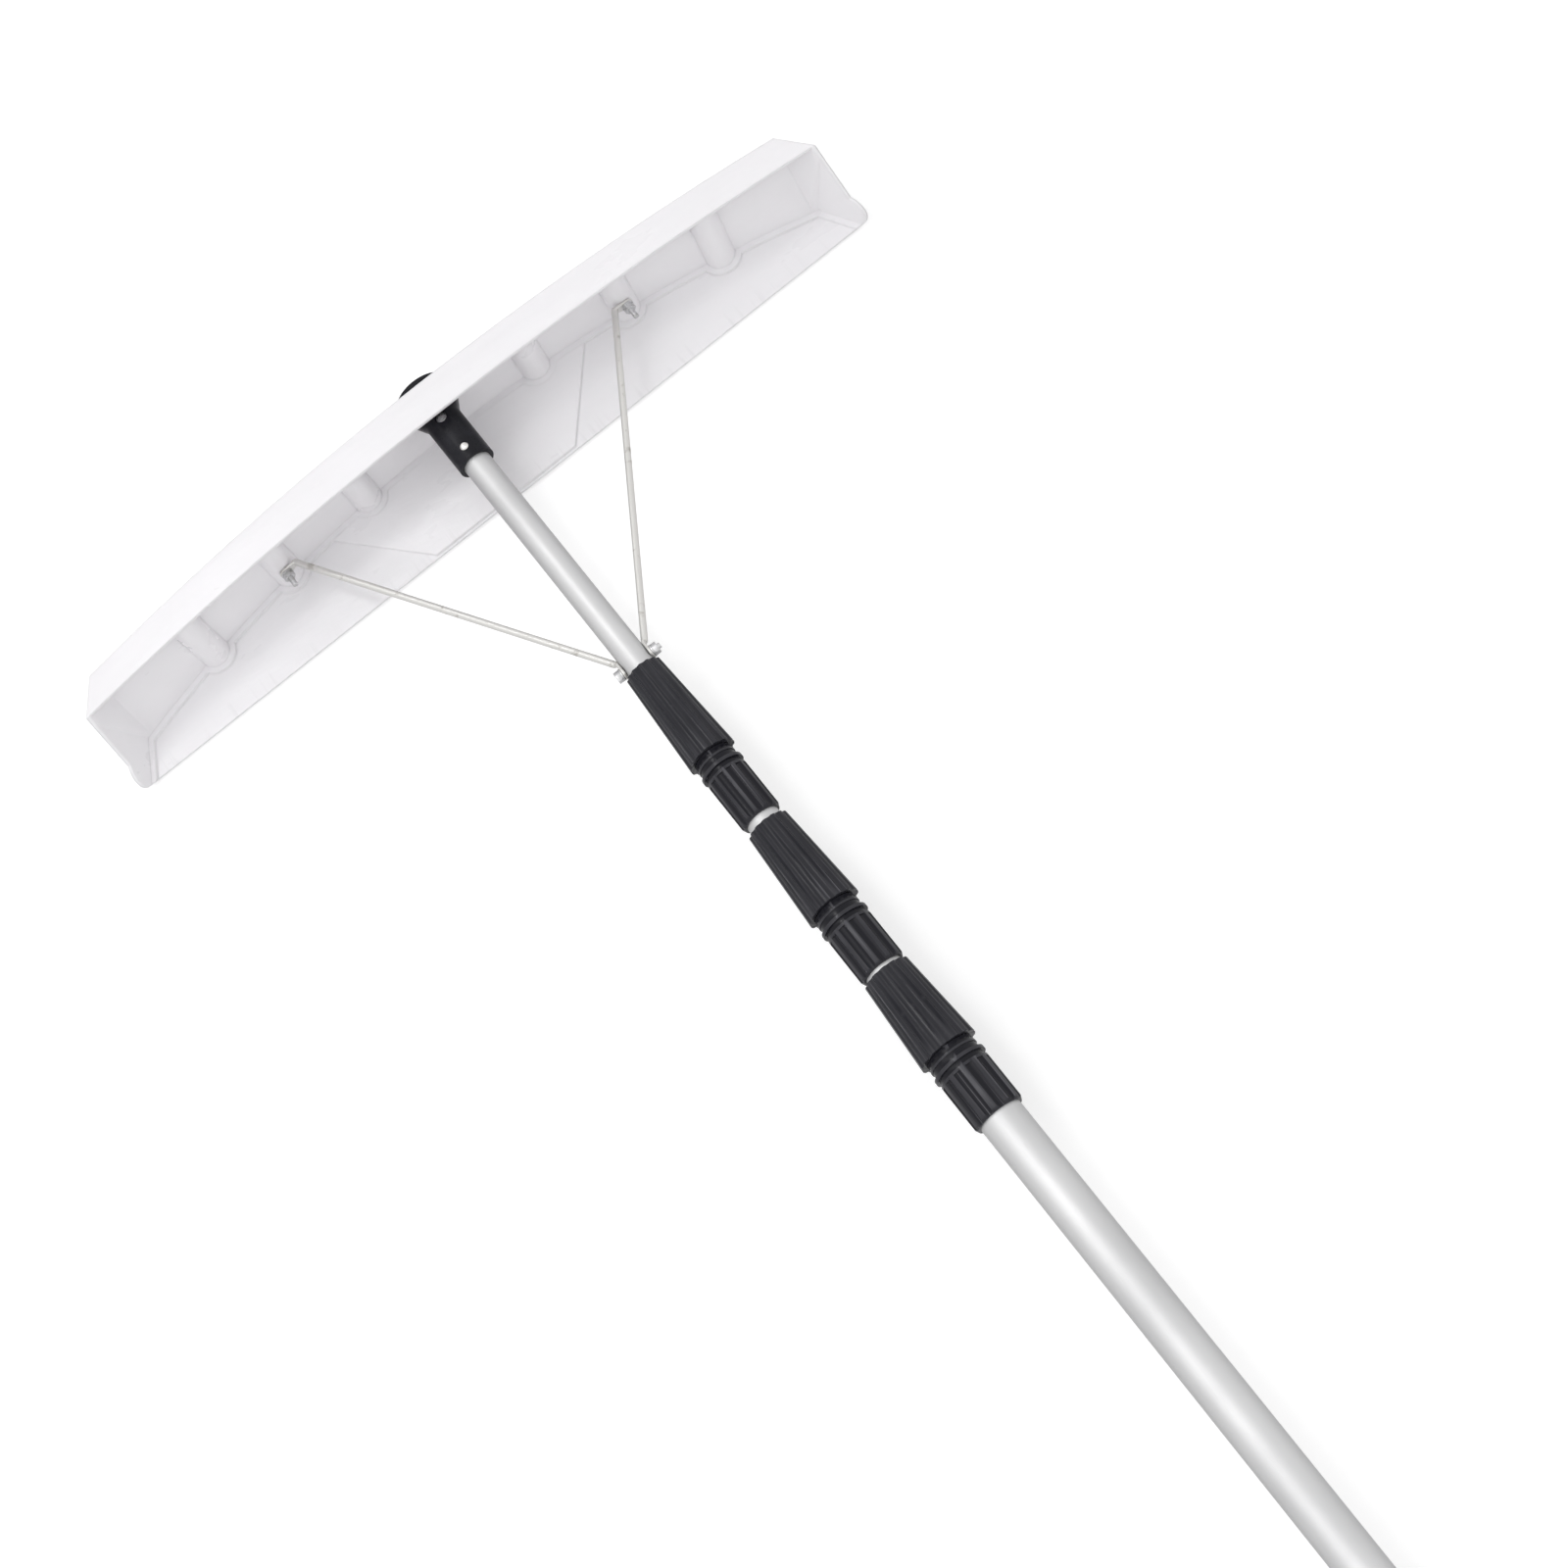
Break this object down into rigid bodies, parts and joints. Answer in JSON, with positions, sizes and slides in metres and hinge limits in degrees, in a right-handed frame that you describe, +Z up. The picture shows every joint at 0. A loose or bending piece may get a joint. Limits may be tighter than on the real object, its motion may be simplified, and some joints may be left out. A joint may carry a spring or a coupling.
{
  "type": "telescoping roof snow rake",
  "caption": "Telescoping snow rake: wide scoop-shaped scraper blade with flutes and lip, braced to an aluminium pole with twist-lock collars.",
  "frame": {"origin": "underside of the blade's plate, at the foot of the back wall, in the middle of the blade", "axes": "X along the blade, +Y along the pole towards the blade, +Z up from the plate's underside towards the pole"},
  "size_m": [0.6474, 2.0185, 0.077],
  "materials": {
    "blade_plastic": "moulded white polypropylene, faint satin",
    "black_plastic": "moulded black nylon, fine matt grain",
    "collar_plastic": "moulded charcoal nylon, satin",
    "guide_nylon": "natural nylon",
    "tube_aluminium": "satin anodised",
    "brace_steel": "light grey coated steel rod",
    "zinc_steel": "zinc plated",
    "button_steel": "polished nickel plate"
  },
  "bodies": {
    "handle": {"handle_tube": "tube_aluminium", "handle_end_cap": "black_plastic", "collar_3_body": "collar_plastic"},
    "section_3": {"section_3_tube": "tube_aluminium", "guide_3": "guide_nylon", "collar_2_body": "collar_plastic"},
    "section_2": {"section_2_tube": "tube_aluminium", "guide_2": "guide_nylon", "collar_1_body": "collar_plastic"},
    "head": {"section_1_tube": "tube_aluminium", "guide_1": "guide_nylon", "blade": "blade_plastic", "pole_socket": "black_plastic", "socket_back_flange": "black_plastic", "flange_screw": "zinc_steel", "flange_washer": "zinc_steel", "flange_nut": "zinc_steel", "socket_screw": "zinc_steel", "button_spring": "button_steel", "brace_left": "brace_steel", "brace_right": "brace_steel", "blade_bolts": "zinc_steel", "blade_washers": "zinc_steel", "blade_nuts": "zinc_steel", "cross_bolt": "zinc_steel", "cross_nut": "zinc_steel", "cross_washers": "zinc_steel"},
    "button": {"snap_button": "button_steel"},
    "collet_1": {"collar_1_collet": "guide_nylon"},
    "nut_1": {"collar_1_nut": "collar_plastic"},
    "collet_2": {"collar_2_collet": "guide_nylon"},
    "nut_2": {"collar_2_nut": "collar_plastic"},
    "collet_3": {"collar_3_collet": "guide_nylon"},
    "nut_3": {"collar_3_nut": "collar_plastic"}
  },
  "joints": [
    {"name": "extend_section_3", "type": "slide", "parent": "handle", "child": "section_3", "axis": [0, 1, 0], "range_m": [0, 1.15]},
    {"name": "extend_section_2", "type": "slide", "parent": "section_3", "child": "section_2", "axis": [0, 1, 0], "range_m": [0, 1.15]},
    {"name": "extend_section_1", "type": "slide", "parent": "section_2", "child": "head", "axis": [0, 1, 0], "range_m": [0, 1.15]},
    {"name": "button_press", "type": "slide", "parent": "head", "child": "button", "axis": [0, 0, -1], "range_m": [0, 0.004], "stiffness_N_per_m": 600, "springref_m": -0.001, "deforming": ["button_spring"]},
    {"name": "collet_1_ease", "type": "slide", "parent": "section_2", "child": "collet_1", "axis": [0, 1, 0], "range_m": [0, 0.0018]},
    {"name": "nut_1_twist", "type": "hinge", "parent": "collet_1", "child": "nut_1", "pos_m": [0, -0.3, 0.052], "axis": [0, 1, 0], "range_deg": [0, 270]},
    {"name": "collet_2_ease", "type": "slide", "parent": "section_3", "child": "collet_2", "axis": [0, 1, 0], "range_m": [0, 0.0018]},
    {"name": "nut_2_twist", "type": "hinge", "parent": "collet_2", "child": "nut_2", "pos_m": [0, -0.3, 0.052], "axis": [0, 1, 0], "range_deg": [0, 270]},
    {"name": "collet_3_ease", "type": "slide", "parent": "handle", "child": "collet_3", "axis": [0, 1, 0], "range_m": [0, 0.0018]},
    {"name": "nut_3_twist", "type": "hinge", "parent": "collet_3", "child": "nut_3", "pos_m": [0, -0.3, 0.052], "axis": [0, 1, 0], "range_deg": [0, 270]}
  ],
  "couplings": [
    {"joint": "nut_1_twist", "follows": "collet_1_ease", "rad_per_m": 2617.9},
    {"joint": "nut_2_twist", "follows": "collet_2_ease", "rad_per_m": 2617.9},
    {"joint": "nut_3_twist", "follows": "collet_3_ease", "rad_per_m": 2617.9}
  ]
}
